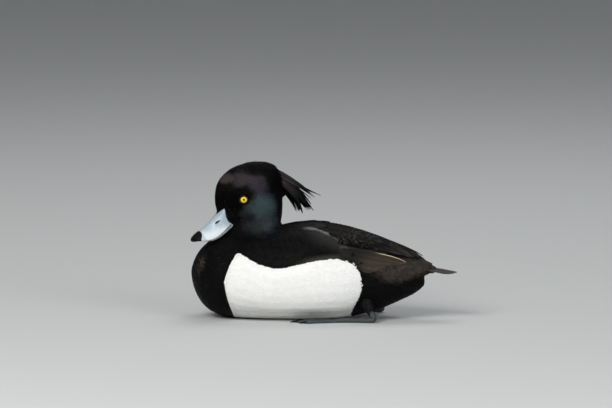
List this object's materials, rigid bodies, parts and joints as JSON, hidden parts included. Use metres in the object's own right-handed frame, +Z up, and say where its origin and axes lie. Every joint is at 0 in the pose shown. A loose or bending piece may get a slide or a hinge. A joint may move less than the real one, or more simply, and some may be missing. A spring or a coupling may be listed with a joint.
{
  "type": "tufted duck",
  "caption": "Life-size still model of a drake tufted duck as it floats, head turned and crest hanging, made to rest on its flat belly.",
  "frame": {"origin": "on the floor, under the middle of the flat of the belly", "axes": "-X towards the breast, +X towards the tail, -Y the bird's left side, +Z up"},
  "size_m": [0.2898, 0.136, 0.1672],
  "materials": {
    "black_plumage": "soft black feathers with a faint purple and green gloss",
    "white_plumage": "soft white feathers",
    "brown_plumage": "dark brown feathers with paler edges",
    "bill_grey": "smooth blue-grey horn, half glossy",
    "nail_black": "smooth black horn, half glossy",
    "eye_yellow": "wet golden yellow with a black pupil",
    "foot_grey": "scaly grey skin with darker webs"
  },
  "bodies": {
    "root": {"torso": "black_plumage", "belly": "white_plumage", "flank_left": "white_plumage", "flank_right": "white_plumage", "scapulars_left": "black_plumage", "scapulars_right": "black_plumage", "wing_left": "brown_plumage", "wing_right": "brown_plumage", "neck": "black_plumage", "head": "black_plumage", "crest": "black_plumage", "bill_upper": "bill_grey", "bill_lower": "bill_grey", "bill_nail": "nail_black", "eye_left": "eye_yellow", "eye_right": "eye_yellow", "tail": "brown_plumage", "leg_left": "foot_grey", "leg_right": "foot_grey", "foot_left": "foot_grey", "foot_right": "foot_grey"}
  },
  "joints": []
}
